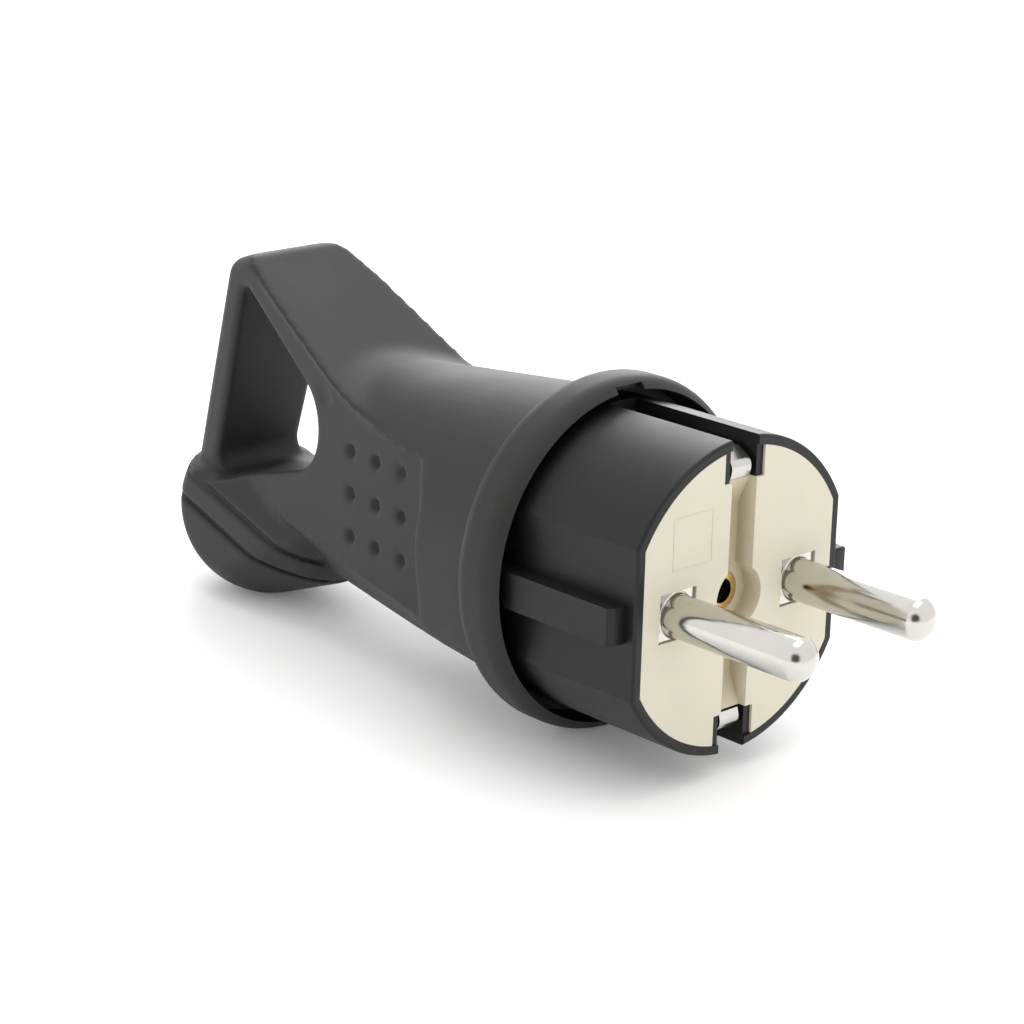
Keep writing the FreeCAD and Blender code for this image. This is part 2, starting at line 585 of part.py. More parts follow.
def panel_pocket():
    """The space beside one panel: below the strap's edge and behind a sloping wall."""
    back = -2 * FAR
    step = -PANEL_FRONT
    front = step + PANEL_STEP_RUN
    plan = [(back, panel_half(back)), (step, panel_half(step)), (front, panel_half(step) + PANEL_STEP_RUN),
            (front, FAR), (back, FAR)]
    bend = LOOP_TOP[0] + (LOOP_TOP[1] - CAP_EDGE - PANEL_TOP_Z) / TOP_SLOPE
    corners = [(back, top_line(back) - CAP_EDGE), (bend, PANEL_TOP_Z), (front, PANEL_TOP_Z), (front, -FAR),
               (back, -FAR)]
    radii = [0, PANEL_TOP_ROUND, PANEL_CORNER_ROUND, 0, 0]
    return rounded_prism(corners, radii).common(plan_prism(plan, -FAR, 2 * FAR))


def underside_bevels():
    """Cutters for the bevel under each panel."""
    front = V(-PANEL_FRONT, panel_half(-PANEL_FRONT), BEVEL_FRONT_Z)
    back = V(BEVEL_BACK[0], panel_half(BEVEL_BACK[0]), BEVEL_BACK[1])
    along = back.sub(front).normalize()
    tilt = math.radians(BEVEL_TILT)
    inward = V(0, -math.cos(tilt), -math.sin(tilt))
    below = inward.cross(along).normalize()
    start = front - along * BEVEL_LEAD - inward * BEVEL_SIDE
    run = along * (back.sub(front).Length + BEVEL_LEAD + BEVEL_RUN_OUT)
    width = inward * FAR
    face = Part.Face(Part.makePolygon([start, start + run, start + run + width, start + width, start]))
    return both_ways(face.extrude(below * FAR), Y_AXIS)


def collar():
    ring = turned([(-COLLAR_BACK, 0), (-COLLAR_BACK, COLLAR_R), (-COLLAR_FRONT, COLLAR_R), (-COLLAR_FRONT, 0)])
    rims = [e for e in ring.Edges if e.BoundBox.XLength < 0.01 and e.BoundBox.ZLength > COLLAR_R]
    return ring.makeFillet(COLLAR_ROUND, rims)


def outlet_form(inset):
    """Two balls and the cone that touches both, flattened on its sides."""
    heel_r, toe_r = OUTLET_R - inset, OUTLET_TOE_R - inset
    toe = V(OUTLET_TOE_C[0], 0, OUTLET_TOE_C[1])
    run = toe.sub(OUTLET_CENTRE)
    lean = (heel_r - toe_r) / run.Length
    across = math.sqrt(1 - lean ** 2)
    forward = V(run).normalize()
    cone = Part.makeCone(heel_r * across, toe_r * across, run.Length + (toe_r - heel_r) * lean,
                         OUTLET_CENTRE + forward * (heel_r * lean), forward)
    half = OUTLET_HALF_W - inset
    body = joined([Part.makeSphere(heel_r, OUTLET_CENTRE), cone, Part.makeSphere(toe_r, toe)])
    body = body.common(box((-FAR * 2, 0), (-half, half), (-FAR, FAR)))
    rims = [e for e in body.Edges if e.BoundBox.YLength < 0.01]
    return body.makeFillet(OUTLET_SIDE_ROUND, rims)


def along_outlet(s):
    """The point on the outlet's axis at a distance from its centre."""
    return OUTLET_CENTRE + OUTLET_AXIS * s


def layer(low, high):
    """A thick plate square to the outlet's axis."""
    return Part.makeCylinder(FAR, high - low, along_outlet(low), OUTLET_AXIS)


def flare(form):
    """The hollow flare above the first groove, narrowing upwards from the outlet's section there."""
    first = RING_GROOVES[0]
    section = form.slice(OUTLET_AXIS, along_outlet(first).dot(OUTLET_AXIS))[0]
    top = section.scaled(FLARE_SHRINK, Part.Face(section).CenterOfMass)
    top.translate(OUTLET_AXIS * -FLARE_RISE)
    return Part.makeLoft([section, top], True, True)


def outlet():
    """The outlet below its first groove, the flare above it and the two ring grooves."""
    form = outlet_form(0.0)
    body = joined([form.common(layer(RING_GROOVES[0], FAR / 2)), flare(form)])
    shell = form.cut(outlet_form(RING_GROOVE_DEPTH))
    for s in RING_GROOVES:
        body = body.cut(shell.common(layer(s - RING_GROOVE_W / 2, s + RING_GROOVE_W / 2)))
    return body


def dimples():
    """Cutters for the grid of dimples and the ejector marks on both panels."""
    slope = math.atan(PANEL_TAPER)
    out = V(-math.sin(slope), math.cos(slope), 0)
    cutters = []
    flank = (DIMPLE_D - DIMPLE_FLOOR_D) / 2 / DIMPLE_DEPTH
    deep = DIMPLE_DEPTH * 2
    for row in range(DIMPLE_ROWS):
        for column in range(DIMPLE_ROWS):
            x = DIMPLE_CENTRE[0] + (column - (DIMPLE_ROWS - 1) / 2) * DIMPLE_PITCH
            z = DIMPLE_CENTRE[1] + (row - (DIMPLE_ROWS - 1) / 2) * DIMPLE_PITCH
            floor = V(x, panel_half(x), z) - out * DIMPLE_DEPTH
            cutters.append(Part.makeCone(DIMPLE_FLOOR_D / 2, DIMPLE_FLOOR_D / 2 + flank * deep, deep, floor, out))
    for x, z in EJECTORS:
        floor = V(x, panel_half(x), z) - out * EJECTOR_DEPTH
        cutters.append(Part.makeCylinder(EJECTOR_D / 2, DIMPLE_DEPTH, floor, out))
    return cutters + [c.mirror(V(0, 0, 0), Y_AXIS) for c in cutters]


def hollow():
    """Seat of the barrel, wiring chamber, cable duct and mouth."""
    floor = -BARREL_LENGTH
    bore = SPIGOT_R + SLIP
    bead = bore - GRIP_GROOVE_DEPTH
    seat = turned([(floor + 1.0, 0), (floor + 1.0, bore), (GROOVE_X[1] - SLIP, bore), (GROOVE_X[1] - SLIP, bead),
                   (GROOVE_X[0] + SLIP, bead), (GROOVE_X[0] + SLIP, bore), (SPIGOT_X[0], bore), (SPIGOT_X[0], 0)])
    cup = rod((floor, 0), CUP_R)
    chamber = Part.makeCone(CHAMBER_BACK_R, CHAMBER_FRONT_R, CHAMBER_BACK + SPIGOT_X[0], V(-CHAMBER_BACK, 0, 0),
                            X_AXIS)
    start = V(DUCT_START[0], 0, DUCT_START[1])
    turn = V(DUCT_TURN[0], 0, DUCT_TURN[1])
    duct = Part.makeCylinder(DUCT_D / 2, turn.sub(start).Length, start, turn.sub(start))
    elbow = Part.makeSphere(DUCT_D / 2, turn)
    mouth = Part.makeCylinder(DUCT_D / 2, FAR, turn, OUTLET_AXIS)
    return [cup, seat, chamber, duct, elbow, mouth]


def on_panel(edge):
    return all(abs(abs(corner.Point.y) - panel_half(corner.Point.x)) < 0.01 for corner in edge.Vertexes)


def finger_hole(solid):
    """The finger hole cut through, with its edge rounded at both panels."""
    hole = rounded_prism([HOLE_TOP, HOLE_FRONT, HOLE_BACK], HOLE_ROUNDS)
    solid = solid.cut(hole)
    rims = []
    for edge in solid.Edges:
        if on_panel(edge) and all(hole.distToShape(corner)[0] < 0.01 for corner in edge.Vertexes):
            rims.append(edge)
    return solid.makeFillet(HOLE_EDGE, rims)


def handle():
    solid = joined([slab(), neck(), collar()])
    solid = finger_hole(solid.cut(underside_bevels()))
    solid = joined([solid, outlet()])
    rest = box((-FAR * 2, 0), (-FAR, FAR), (-FAR, REST_Z))
    notch_half = EARTH_SLOT_W / 2
    notch = box((-EARTH_SLOT_LENGTH, 0), (-notch_half, notch_half), (BARREL_R, CUP_R + NOTCH_DEPTH))
    return solid.cut(hollow() + [rest] + both_ways(notch, Z_AXIS) + dimples())


def build():
    half = PIN_SPACING / 2
    return {
        "handle_body": handle(),
        "plug_housing": barrel(),
        "contact_carrier": carrier(),
        "pin_left": pin(-half),
        "pin_right": pin(half),
        "terminal_screw_left": terminal_screw(-half),
        "terminal_screw_right": terminal_screw(half),
        "wire_guard_left": wire_guard(-half),
        "wire_guard_right": wire_guard(half),
        "earth_strap": strap(),
        "earth_terminal": earth_terminal(),
        "earth_rivet": rivet(),
        "earth_terminal_screw": earth_screw(),
        "earth_wire_guard": earth_guard(),
        "fixing_screw": fixing_screw(),
        "fixing_nut": fixing_nut(),
        "cord_clamp_bar": clamp_bar(),
        "cord_clamp_screw_left": clamp_screw(-1),
        "cord_clamp_screw_right": clamp_screw(1),
    }


os.makedirs("parts", exist_ok=True)
for name, shape in build().items():
    if len(shape.Solids) == 1:
        shape = shape.Solids[0]
    print(name, "solids", len(shape.Solids), "valid", shape.isValid(), "volume %.0f" % shape.Volume)
    shape.exportStep("parts/" + name + ".step")
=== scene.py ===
"""Studio scene of an earthed plug with a pull handle, lying on a pale floor."""
import math

import bpy
from mathutils import Matrix, Vector


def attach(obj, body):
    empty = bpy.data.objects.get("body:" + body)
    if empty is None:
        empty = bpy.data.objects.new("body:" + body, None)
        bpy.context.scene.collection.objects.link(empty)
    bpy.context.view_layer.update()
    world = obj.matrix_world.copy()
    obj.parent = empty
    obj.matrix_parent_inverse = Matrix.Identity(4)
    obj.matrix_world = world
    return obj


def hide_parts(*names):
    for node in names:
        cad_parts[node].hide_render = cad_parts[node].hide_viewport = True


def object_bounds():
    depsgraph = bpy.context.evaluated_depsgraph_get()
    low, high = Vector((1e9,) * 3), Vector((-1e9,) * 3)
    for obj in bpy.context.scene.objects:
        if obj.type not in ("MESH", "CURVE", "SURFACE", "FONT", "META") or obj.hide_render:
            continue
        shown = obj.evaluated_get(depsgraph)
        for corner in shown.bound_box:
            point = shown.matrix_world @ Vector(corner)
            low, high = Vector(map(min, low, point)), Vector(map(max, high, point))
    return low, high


MM = 0.001

# The camera, as the angles and distance that the photograph was taken from
CAMERA_AZIMUTH = math.radians(46.62)
CAMERA_ELEVATION = math.radians(17.66)
CAMERA_ROLL = math.radians(1.46)
CAMERA_DISTANCE = 308.9 * MM
CAMERA_SIDE = 24.48 * MM
CAMERA_RISE = -9.15 * MM
SENSOR = 36.0
LENS = 100.6
NEAREST_SEEN = 0.01
FARTHEST_SEEN = 50.0

# Lights and floor
FLOOR_SIZE = 12.0
FLOOR_WHITE = (0.93, 0.93, 0.925, 1.0)
FLOOR_GLOW = 0.10
SKY_WHITE = (1.0, 1.0, 1.0, 1.0)
SKY_GREY = (0.10, 0.10, 0.095, 1.0)
SKY_STRENGTH = 1.2
# The dark corner of the room around the camera: its direction, and the angles from it where the
# darkening starts and where it is full
CORNER_DIRECTION = Vector((0.69, -0.65, 0.30))
CORNER_START = math.radians(28.0)
CORNER_FULL = math.radians(11.0)
# Each soft box: its place, its aim, its size in metres and its power in watts
TOP_BOX = ((-0.1, 0.15, 1.1), (-0.04, 0, 0), 0.9, 3.0)
BACK_BOX = ((-0.9, 0.9, 0.55), (-0.04, 0, 0), 0.8, 9.0)

# Softening of the grip, which ends in the crease behind the collar
GRIP_FRONT = -24.0 * MM
GRIP_END = 0.4 * MM
GRIP_VOXEL = 0.28 * MM
GRIP_THINNING = 0.46
MERGE_DISTANCE = 0.002 * MM
SMOOTH_ANGLE = math.radians(40)
# How many times each zone of the grip is smoothed. Each zone lies inside the one before it.
EASINGS = {"behind_end": 3, "above_outlet": 8, "strap": 14}

# The panels' planes and the line of the strap's top, for the softening
PANEL_HALF = 9.6 * MM
PANEL_X = -60.0 * MM
PANEL_TAPER = 0.12
STRAP_TOP = Vector((-76.6, 0, 25.0)) * MM
STRAP_SLOPE = 0.566
STRAP_EDGE = 1.2 * MM
PANEL_PLAY = 0.06 * MM

# The shoulder between the panels and the cable outlet's first groove: the outlet's two balls,
# the groove's upper edge along the outlet's axis, the shoulder's half widths at its foot and its top,
# and the floor of the finger hole above it
BALL_SEGMENTS = 96
BALL_RINGS = 48
HEEL_R = 11.7 * MM
HEEL_C = Vector((-80.8, 0, -9.2)) * MM
TOE_R = 9.9 * MM
TOE_C = Vector((-70.4, 0, -7.2)) * MM
OUTLET_AXIS = Vector((-0.3173, 0, -0.9483))
GROOVE_EDGE = -3.05 * MM
SHOULDER_TOP = -8.0 * MM
SHOULDER_HALF = (9.4 * MM, 7.1 * MM)
HOLE_FLOOR = Vector((-84.4, 0, -5.7)) * MM
HOLE_FLOOR_UP = Vector((-0.285, 0, 0.958))

# The plain raised frame on the carrier's face, the nose of the right rib, the recesses of the carrier
# where painted shade darkens its plastic, and the screw's socket, where painted shade darkens the brass
FRAME_CENTRE = Vector((0, -7.6, 7.95)) * MM
FRAME_HEIGHT = 5.9 * MM
FRAME_WIDTH = 6.0 * MM
FRAME_LINE = 0.14 * MM
FRAME_RISE = 0.05 * MM
FRAME_ROUND = FRAME_RISE / 3
NOSE_FROM = Vector((-2.2, 15.7, -1.9)) * MM
NOSE_TO = Vector((-0.4, 18.0, 1.9)) * MM
NOSE_ROUND = 0.25 * MM
RECESS_SHADE_START = 0.1 * MM
RECESS_SHADE_FULL = 2.2 * MM
SOCKET_SHADE_R = 1.35 * MM
SOCKET_SHADE_EDGE = 1.1 * SOCKET_SHADE_R

# Inner pieces that keep the frame's own mesh, by finish
BRASS_NODES = ("earth_terminal", "earth_rivet")
ZINC_NODES = (
    "terminal_screw_left",
    "terminal_screw_right",
    "wire_guard_left",
    "wire_guard_right",
    "earth_terminal_screw",
    "earth_wire_guard",
    "fixing_nut",
    "cord_clamp_screw_left",
    "cord_clamp_screw_right",
)


class Wire:
    """A shader socket that sums, differences and products can be written with."""

    def __init__(self, finish, socket):
        self.finish = finish
        self.socket = socket

    def maths(self, operation, first, second):
        return self.finish.node("ShaderNodeMath", {"operation": operation}, {0: first, 1: second})

    def __add__(self, other):
        return self.maths("ADD", self, other)

    def __rsub__(self, other):
        return self.maths("SUBTRACT", other, self)

    def __rmul__(self, other):
        return self.maths("MULTIPLY", self, other)


class Wiring:
    """Nodes that work in any shader tree, around one shader that they feed."""

    def __init__(self, tree, shader, coordinates):
        self.tree = tree
        self.shader = tree.nodes[shader]
        self.place = self.node("ShaderNodeTexCoord", {}, {}, coordinates)

    def node(self, kind, settings, sockets, result=0):
        """Adds a node, its settings first and then its sockets, and gives back one of its outputs."""
        made = self.tree.nodes.new(kind)
        for name, value in settings.items():
            setattr(made, name, value)
        for name, value in sockets.items():
            if isinstance(value, Wire):
                self.tree.links.new(value.socket, made.inputs[name])
            else:
                made.inputs[name].default_value = value
        return Wire(self, made.outputs[result])

    def feed(self, name, wire):
        self.tree.links.new(wire.socket, self.shader.inputs[name])

    def step(self, share, start, end):
        """0 below start and 1 above end, smooth between them."""
        sockets = {"Value": share, "From Min": start, "From Max": end}
        return self.node("ShaderNodeMapRange", {"interpolation_type": "SMOOTHSTEP"}, sockets, "Result")

    def tint(self, share, first, second):
        """The first colour where share is 0 and the second where it is 1."""
        made = self.tree.nodes.new("ShaderNodeMix")
        made.data_type = "RGBA"
        for name, value in (("Factor_Float", share), ("A_Color", first), ("B_Color", second)):
            socket = next(s for s in made.inputs if s.identifier == name)
            if isinstance(value, Wire):
                self.tree.links.new(value.socket, socket)
            else:
                socket.default_value = value
        return Wire(self, next(s for s in made.outputs if s.identifier == "Result_Color"))


class Finish(Wiring):
    """One surface finish: a material with one Principled shader and the nodes that feed it."""

    def __init__(self, name, **uniform):
        self.material = bpy.data.materials.new(name)
        self.material.use_nodes = True
        super().__init__(self.material.node_tree, "Principled BSDF", "Object")
        for words, value in uniform.items():
            self.shader.inputs[words.replace("_", " ")].default_value = value

    def noise(self, size, detail=3.0, place=None):
        """Cloudy noise from 0 to 1 whose blotches are about this size, in metres."""
        sockets = {"Vector": place or self.place, "Scale": 1.0 / size, "Detail": detail}
        return self.node("ShaderNodeTexNoise", {}, sockets, "Fac")

    def stretched(self, along_x, along_y, along_z):
        """The place, with each axis multiplied."""
        sockets = {"Vector": self.place, "Scale": (along_x, along_y, along_z)}
        return self.node("ShaderNodeMapping", {}, sockets)

    def across(self, axis):
        """The place along one axis."""
        return self.node("ShaderNodeSeparateXYZ", {}, {"Vector": self.place}, axis)

    def between(self, share, low, high):
        """A number that goes from low to high as share goes from 0 to 1."""
        sockets = {"Value": share, "To Min": low, "To Max": high}
        return self.node("ShaderNodeMapRange", {}, sockets, "Result")

    def relief(self, height, depth):
        """Bumps the surface by height times depth, in metres."""
        sockets = {"Height": height, "Distance": depth, "Strength": 1.0}
        self.feed("Normal", self.node("ShaderNodeBump", {}, sockets))


def handle_rubber():
    """Dark matt rubber with a fine grain and faint clouds of bloom."""
    finish = Finish("handle_rubber_finish", Specular_IOR_Level=0.35)
    clouds = finish.noise(9 * MM, detail=4.0)
    grain = finish.noise(0.16 * MM, detail=2.0)
    rubber = finish.tint(clouds, (0.016, 0.016, 0.0155, 1.0), (0.022, 0.022, 0.021, 1.0))
    finish.feed("Base Color", rubber)
    finish.feed("Roughness", finish.between(clouds + 0.35 * grain, 0.44, 0.62))
    finish.relief(grain + 0.6 * finish.noise(0.7 * MM), 0.02 * MM)
    return finish.material


def housing_plastic():
    """Satin black moulded plastic."""
    finish = Finish("housing_plastic_finish", Specular_IOR_Level=0.35)
    clouds = finish.noise(6 * MM, detail=4.0)
    grain = finish.noise(0.12 * MM, detail=2.0)
    black = finish.tint(clouds, (0.005, 0.0051, 0.0053, 1.0), (0.007, 0.0072, 0.0075, 1.0))
    finish.feed("Base Color", black)
    finish.feed("Roughness", finish.between(clouds + 0.3 * grain, 0.34, 0.50))
    finish.relief(grain, 0.012 * MM)
    return finish.material


def carrier_plastic():
    """Warm ivory moulded plastic, with painted shade that darkens it in its recesses."""
    finish = Finish("carrier_plastic_finish", Specular_IOR_Level=0.5, Subsurface_Weight=0.08,
                    Subsurface_Scale=1.0 * MM)
    clouds = finish.noise(5 * MM, detail=4.0)
    grain = finish.noise(0.15 * MM, detail=2.0)
    ivory = finish.tint(clouds, (0.645, 0.605, 0.49, 1.0), (0.695, 0.655, 0.535, 1.0))
    # Painted shade: the plastic turns a darker brown the deeper it lies behind the carrier's face
    depth = finish.step(-1 * finish.across("X"), RECESS_SHADE_START, RECESS_SHADE_FULL)
    finish.feed("Base Color", finish.tint(depth, ivory, (0.53, 0.465, 0.33, 1.0)))
    finish.feed("Roughness", finish.between(clouds + 0.3 * grain, 0.40, 0.58))
    finish.relief(grain, 0.012 * MM)
    return finish.material


def nickel_plate():
    """Bright nickel with fine lines along the pin from its polishing."""
    finish = Finish("nickel_plate_finish", Metallic=1.0)
    lines = finish.noise(0.12 * MM, place=finish.stretched(0.03, 1.0, 1.0))
    blotches = finish.noise(2.5 * MM, detail=4.0)
    finish.feed("Base Color", finish.tint(blotches, (0.54, 0.525, 0.49, 1.0), (0.66, 0.645, 0.605, 1.0)))
    finish.feed("Roughness", finish.between(0.6 * lines + 0.4 * blotches, 0.05, 0.20))
    finish.relief(lines, 0.007 * MM)
    return finish.material


def spring_strip():
    """Bright plated spring strip, rolled along its length."""
    finish = Finish("spring_strip_finish", Metallic=1.0)
    lines = finish.noise(0.1 * MM, place=finish.stretched(1.0, 1.0, 0.04))
    blotches = finish.noise(2 * MM, detail=4.0)
    finish.feed("Base Color", finish.tint(blotches, (0.50, 0.49, 0.465, 1.0), (0.60, 0.59, 0.565, 1.0)))
    finish.feed("Roughness", finish.between(0.6 * lines + 0.4 * blotches, 0.12, 0.30))
    finish.relief(lines, 0.005 * MM)
    return finish.material


def yellow_brass():
    """Turned brass, darker where it is tarnished, with painted shade that makes it nearly black in the
    screw's socket.
    """
    finish = Finish("yellow_brass_finish", Metallic=1.0)
    tarnish = finish.noise(1.2 * MM, detail=4.0)
    turning = finish.noise(0.1 * MM)
    brass = finish.tint(tarnish, (0.66, 0.42, 0.17, 1.0), (0.82, 0.58, 0.28, 1.0))
    # Painted shade: the brass turns nearly black within the socket's radius of the plug's axis
    sockets = {0: finish.stretched(0.0, 1.0, 1.0)}
    off_axis = finish.node("ShaderNodeVectorMath", {"operation": "LENGTH"}, sockets, "Value")
    within = 1 - finish.step(off_axis, SOCKET_SHADE_R, SOCKET_SHADE_EDGE)
    finish.feed("Base Color", finish.tint(within, brass, (0.035, 0.022, 0.012, 1.0)))
    finish.feed("Roughness", finish.between(0.6 * tarnish + 0.4 * turning, 0.14, 0.36))
    finish.relief(turning, 0.004 * MM)
    return finish.material


def zinc_steel():
    """Zinc-plated steel with a soft spangle."""
    finish = Finish("zinc_steel_finish", Metallic=1.0)
    sockets = {"Vector": finish.place, "Scale": 1 / (0.5 * MM)}
    spangle = finish.node("ShaderNodeTexVoronoi", {}, sockets, "Distance")
    finish.feed("Base Color", finish.tint(spangle, (0.56, 0.58, 0.60, 1.0), (0.70, 0.71, 0.73, 1.0)))
    finish.feed("Roughness", finish.between(spangle, 0.22, 0.40))
    finish.relief(finish.noise(0.2 * MM), 0.004 * MM)
    return finish.material


def give_finish(piece, material):
    """Puts the material in every slot of the piece."""
    if not piece.data.materials:
        piece.data.materials.append(material)
    for number in range(len(piece.data.materials)):
        piece.data.materials[number] = material


def chosen(piece):
    """Selects this piece alone and makes it active."""
    bpy.ops.object.select_all(action="DESELECT")
    piece.select_set(True)
    bpy.context.view_layer.objects.active = piece


def copy_of(node, name):
    """A copy of a frame node's mesh, with its doubled points merged."""
    piece = bpy.data.objects.new(name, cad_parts[node].data.copy())
    bpy.context.scene.collection.objects.link(piece)
    chosen(piece)
    bpy.ops.mesh.customdata_custom_splitnormals_clear()
    bpy.ops.object.mode_set(mode="EDIT")
    bpy.ops.mesh.select_all(action="SELECT")
    bpy.ops.mesh.remove_doubles(threshold=MERGE_DISTANCE)
    bpy.ops.object.mode_set(mode="OBJECT")
    return piece


def finished(piece, *modifiers):
    """Adds each modifier with its settings and applies it."""
    chosen(piece)
    for kind, settings in modifiers:
        modifier = piece.modifiers.new(kind.lower(), kind)
        for name, value in settings.items():
            setattr(modifier, name, value)
        bpy.ops.object.modifier_apply(modifier=modifier.name)


def trimmed(piece, place, outwards, hollow=False):
    """Cuts the piece at a plane, drops what lies outwards and closes the cut, as a ring where hollow."""
    chosen(piece)
    bpy.ops.object.mode_set(mode="EDIT")
    bpy.ops.mesh.select_all(action="SELECT")
    bpy.ops.mesh.bisect(plane_co=place, plane_no=outwards, use_fill=not hollow, clear_outer=True)
    if hollow:
        bpy.ops.mesh.select_all(action="DESELECT")
        bpy.ops.mesh.select_mode(type="EDGE")
        bpy.ops.mesh.select_non_manifold()
        bpy.ops.mesh.bridge_edge_loops()
        bpy.ops.mesh.select_all(action="SELECT")
        bpy.ops.mesh.normals_make_consistent(inside=False)
    bpy.ops.object.mode_set(mode="OBJECT")


def outlet_shoulder():
    """The sloping shoulder that runs from both panels out to the outlet's first groove."""
    balls = []
    for radius, centre in ((HEEL_R, HEEL_C), (TOE_R, TOE_C)):
        bpy.ops.mesh.primitive_uv_sphere_add(
            segments=BALL_SEGMENTS, ring_count=BALL_RINGS, radius=radius, location=centre)
        balls.append(bpy.context.object)
    heel, toe = balls
    bpy.ops.object.select_all(action="DESELECT")
    toe.select_set(True)
    heel.select_set(True)
    bpy.context.view_layer.objects.active = heel
    bpy.ops.object.join()
    bpy.ops.object.transform_apply(location=True, rotation=True, scale=True)
    edge = HEEL_C + OUTLET_AXIS * GROOVE_EDGE
    rise = SHOULDER_HALF[0] - SHOULDER_HALF[1]
    run = GROOVE_EDGE - SHOULDER_TOP
    cuts = [(edge, OUTLET_AXIS), (HOLE_FLOOR, HOLE_FLOOR_UP)]
    for side in (-1, 1):
        across = Vector((0, side, 0))
        outwards = (across * run - OUTLET_AXIS * rise).normalized()
        cuts.append((edge + across * SHOULDER_HALF[0], outwards))
    bpy.ops.object.mode_set(mode="EDIT")
    bpy.ops.mesh.select_all(action="SELECT")
    bpy.ops.mesh.convex_hull()
    bpy.ops.object.mode_set(mode="OBJECT")
    for place, outwards in cuts:
        trimmed(heel, place, outwards)
    return heel


def on_strap(place):
    """Whether a point of the grip lies outside its panels, or near the strap's top."""
    panel = PANEL_HALF + PANEL_TAPER * (place.x - PANEL_X) + PANEL_PLAY
    top = STRAP_TOP.z - STRAP_SLOPE * (place.x - STRAP_TOP.x)
    return abs(place.y) > panel or place.z > top - STRAP_EDGE


def moulded_grip():
    """The handle behind its collar, with the eased edges that rubber leaves its mould with."""
    shoulder = outlet_shoulder()
    piece = copy_of("handle_body", "handle_grip")
    trimmed(piece, (GRIP_FRONT, 0, 0), (1, 0, 0), hollow=True)
    shoulder.select_set(True)
    bpy.ops.object.join()
    finished(piece, ("REMESH", {"mode": "VOXEL", "voxel_size": GRIP_VOXEL, "use_smooth_shade": True}))
    zones = {name: piece.vertex_groups.new(name=name) for name in EASINGS}
    for point in piece.data.vertices:
        if point.co.x < GRIP_FRONT - 2 * GRIP_END:
            zones["behind_end"].add([point.index], 1.0, "REPLACE")
            if (point.co - HEEL_C).dot(OUTLET_AXIS) < GROOVE_EDGE:
                zones["above_outlet"].add([point.index], 1.0, "REPLACE")
                if on_strap(point.co):
                    zones["strap"].add([point.index], 1.0, "REPLACE")
    for name, times in EASINGS.items():
        finished(piece, ("SMOOTH", {"iterations": times, "vertex_group": name}))
    finished(piece, ("DECIMATE", {"ratio": GRIP_THINNING}))
    # The front end is pushed into the collar, so that no gap shows in the crease
    for point in piece.data.vertices:
        if point.co.x > GRIP_FRONT - GRIP_END:
            point.co.x += 2 * GRIP_END
    bpy.ops.object.shade_smooth()
    return piece


def crisp_collar():
    """The handle's collar, with the cup that the barrel sits in."""
    piece = copy_of("handle_body", "handle_collar")
    trimmed(piece, (GRIP_FRONT, 0, 0), (-1, 0, 0), hollow=True)
    bpy.ops.object.shade_smooth_by_angle(angle=SMOOTH_ANGLE)
    return piece


def rubber_handle():
    """The handle in two meshes that meet in the crease behind the collar, in one rubber."""
    rubber = handle_rubber()
    for piece in (moulded_grip(), crisp_collar()):
        give_finish(piece, rubber)
        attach(piece, "root")
        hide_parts("handle_body")


def face_frame():
    """A plain raised rectangle of thin lines, moulded on the carrier's face beside the channel."""
    bpy.ops.mesh.primitive_plane_add(size=1, location=FRAME_CENTRE, rotation=(0, math.pi / 2, 0))
    piece = bpy.context.object
    piece.name = "face_frame"
    piece.scale = (FRAME_HEIGHT, FRAME_WIDTH, 1)
    bpy.ops.object.transform_apply(location=True, rotation=True, scale=True)
    bpy.ops.object.mode_set(mode="EDIT")
    bpy.ops.mesh.select_all(action="SELECT")
    bpy.ops.mesh.inset(thickness=FRAME_LINE)
    bpy.ops.mesh.delete(type="FACE")
    bpy.ops.mesh.select_all(action="SELECT")
    bpy.ops.mesh.extrude_region_move(TRANSFORM_OT_translate={"value": (FRAME_RISE, 0, 0)})
    bpy.ops.mesh.select_all(action="SELECT")
    bpy.ops.mesh.normals_make_consistent(inside=False)
    bpy.ops.object.mode_set(mode="OBJECT")
    finished(piece, ("BEVEL", {"width": FRAME_ROUND, "segments": 2}))
    return piece


def rib_nose():
    """The short nose that the right rib runs out to, just behind the barrel's rim."""
    bpy.ops.mesh.primitive_cube_add(size=1, location=(NOSE_FROM + NOSE_TO) / 2)
    piece = bpy.context.object
    piece.name = "rib_nose"
    piece.scale = NOSE_TO - NOSE_FROM
    bpy.ops.object.transform_apply(location=True, rotation=True, scale=True)
    finished(piece, ("BEVEL", {"width": NOSE_ROUND, "segments": 3}))
    bpy.ops.object.shade_smooth_by_angle(angle=SMOOTH_ANGLE)
    return piece


def photograph_camera():
    """The camera at the photograph's place, with its lens."""
    azimuth, elevation, roll = CAMERA_AZIMUTH, CAMERA_ELEVATION, CAMERA_ROLL
    back = Vector((
        math.sin(azimuth) * math.cos(elevation),
        -math.cos(azimuth) * math.cos(elevation),
        math.sin(elevation),
    ))
    level = Vector((0, 0, 1)).cross(back).normalized()
    upright = back.cross(level)
    right = math.cos(roll) * level + math.sin(roll) * upright
    up = math.cos(roll) * upright - math.sin(roll) * level
    data = bpy.data.cameras.new("photograph_camera")
    data.sensor_width = SENSOR
    data.lens = LENS
    data.clip_start = NEAREST_SEEN
    data.clip_end = FARTHEST_SEEN
    camera = bpy.data.objects.new("photograph_camera", data)
    place = CAMERA_DISTANCE * back - CAMERA_SIDE * right - CAMERA_RISE * up
    camera.matrix_world = Matrix.Translation(place) @ Matrix((right, up, back)).transposed().to_4x4()
    bpy.context.scene.collection.objects.link(camera)
    bpy.context.scene.camera = camera


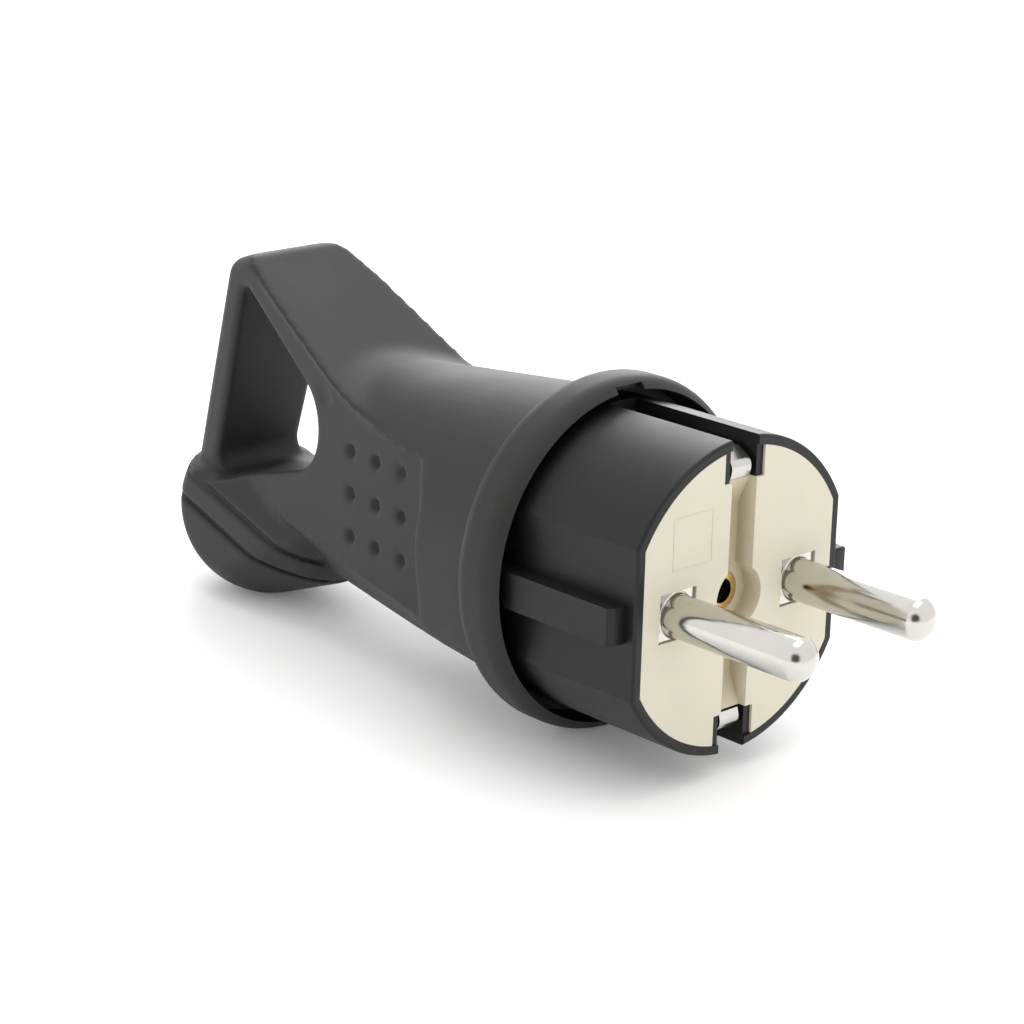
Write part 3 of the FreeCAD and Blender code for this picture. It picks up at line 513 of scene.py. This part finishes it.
def pale_floor(height):
    """A wide pale floor at the height that the plug rests on."""
    bpy.ops.mesh.primitive_plane_add(size=FLOOR_SIZE, location=(0, 0, height))
    floor = bpy.context.object
    floor.name = "floor"
    finish = Finish("floor_finish", Base_Color=FLOOR_WHITE, Roughness=0.85, Specular_IOR_Level=0.2,
                    Emission_Color=FLOOR_WHITE, Emission_Strength=FLOOR_GLOW)
    floor.data.materials.append(finish.material)


def soft_light(name, place, aim, size, power):
    """A square soft box at a place, turned to the aim."""
    data = bpy.data.lights.new(name, "AREA")
    data.shape = "SQUARE"
    data.size = size
    data.energy = power
    lamp = bpy.data.objects.new(name, data)
    lamp.location = place
    lamp.rotation_mode = "QUATERNION"
    lamp.rotation_quaternion = (Vector(aim) - Vector(place)).to_track_quat("-Z", "Y")
    bpy.context.scene.collection.objects.link(lamp)


def white_studio():
    """A white room with one dark corner, and soft boxes above and behind the plug."""
    world = bpy.data.worlds.new("white_room")
    bpy.context.scene.world = world
    world.use_nodes = True
    room = Wiring(world.node_tree, "Background", "Generated")
    room.shader.inputs["Strength"].default_value = SKY_STRENGTH
    sockets = {0: room.place, 1: CORNER_DIRECTION.normalized()}
    along = room.node("ShaderNodeVectorMath", {"operation": "DOT_PRODUCT"}, sockets, "Value")
    within = room.step(along, math.cos(CORNER_START), math.cos(CORNER_FULL))
    room.feed("Color", room.tint(within, SKY_WHITE, SKY_GREY))
    soft_light("top_box", *TOP_BOX)
    soft_light("back_box", *BACK_BOX)


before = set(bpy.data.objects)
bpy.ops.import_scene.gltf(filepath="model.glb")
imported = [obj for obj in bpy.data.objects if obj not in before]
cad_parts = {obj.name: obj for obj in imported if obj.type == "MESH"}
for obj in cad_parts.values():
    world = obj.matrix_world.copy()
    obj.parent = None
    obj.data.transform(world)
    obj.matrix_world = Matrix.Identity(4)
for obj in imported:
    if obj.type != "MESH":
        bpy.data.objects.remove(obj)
cad_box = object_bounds()
bpy.ops.object.select_all(action="DESELECT")
bpy.context.scene.view_settings.view_transform = "Standard"

photograph_camera()
pale_floor(cad_box[0].z)
white_studio()

rubber_handle()
black = housing_plastic()
give_finish(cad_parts["plug_housing"], black)
give_finish(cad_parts["cord_clamp_bar"], black)
ivory = carrier_plastic()
give_finish(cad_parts["contact_carrier"], ivory)
small_pieces = ((face_frame(), ivory, "carrier_plastic"), (rib_nose(), black, "housing_plastic"))
for piece, finish, slot in small_pieces:
    give_finish(piece, finish)
    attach(piece, "root")
give_finish(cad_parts["earth_strap"], spring_strip())
nickel = nickel_plate()
for node in ("pin_left", "pin_right"):
    give_finish(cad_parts[node], nickel)
brass = yellow_brass()
give_finish(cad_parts["fixing_screw"], brass)
for node in BRASS_NODES:
    give_finish(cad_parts[node], brass)
zinc = zinc_steel()
for node in ZINC_NODES:
    give_finish(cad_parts[node], zinc)
